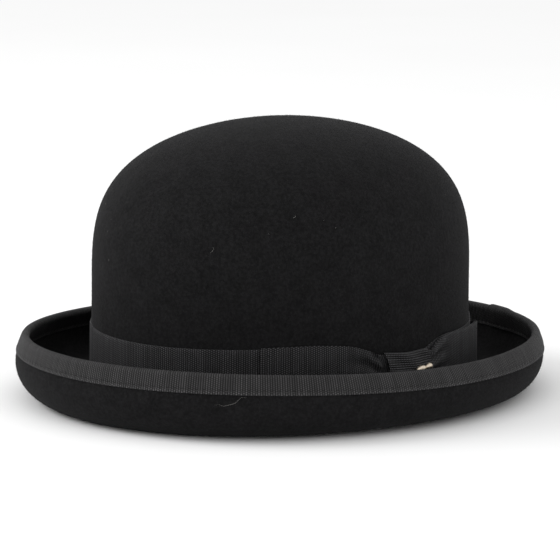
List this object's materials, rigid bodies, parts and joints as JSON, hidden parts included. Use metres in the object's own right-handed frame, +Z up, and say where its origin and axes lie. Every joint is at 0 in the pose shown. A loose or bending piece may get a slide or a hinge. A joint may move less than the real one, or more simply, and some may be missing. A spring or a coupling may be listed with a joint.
{
  "type": "bowler hat",
  "caption": "Bowler hat with a round domed crown, a curled and bound brim, a ribbon band with a flat side bow, a small pin, a leather sweatband and a lining.",
  "frame": {"origin": "centre of the hat's footprint on the surface that it stands on", "axes": "+Z up to the top of the crown, -Y towards the front of the hat, +X towards the wearer's left, where the bow is"},
  "size_m": [0.255, 0.287, 0.1409],
  "materials": {
    "felt": "stiffened wool felt, brushed nap",
    "binding_ribbon": "ribbed grosgrain",
    "band_ribbon": "ribbed grosgrain",
    "pin_metal": "pale plated, polished",
    "sweatband_leather": "smooth fine grain",
    "reed": "bare strand",
    "tape": "plain weave cotton",
    "lining": "satin",
    "small_ribbon": "narrow satin ribbon"
  },
  "bodies": {
    "root": {"felt_body": "felt", "brim_binding": "binding_ribbon", "hat_band": "band_ribbon", "bow_loop": "band_ribbon", "bow_knot": "band_ribbon", "bow_pin": "pin_metal", "sweatband": "sweatband_leather", "sweatband_reed": "reed", "reed_tape": "tape", "join_strip": "sweatband_leather", "inner_bow_loop": "small_ribbon", "inner_bow_knot": "small_ribbon", "lining_side": "lining", "lining_tip": "lining"}
  },
  "joints": []
}
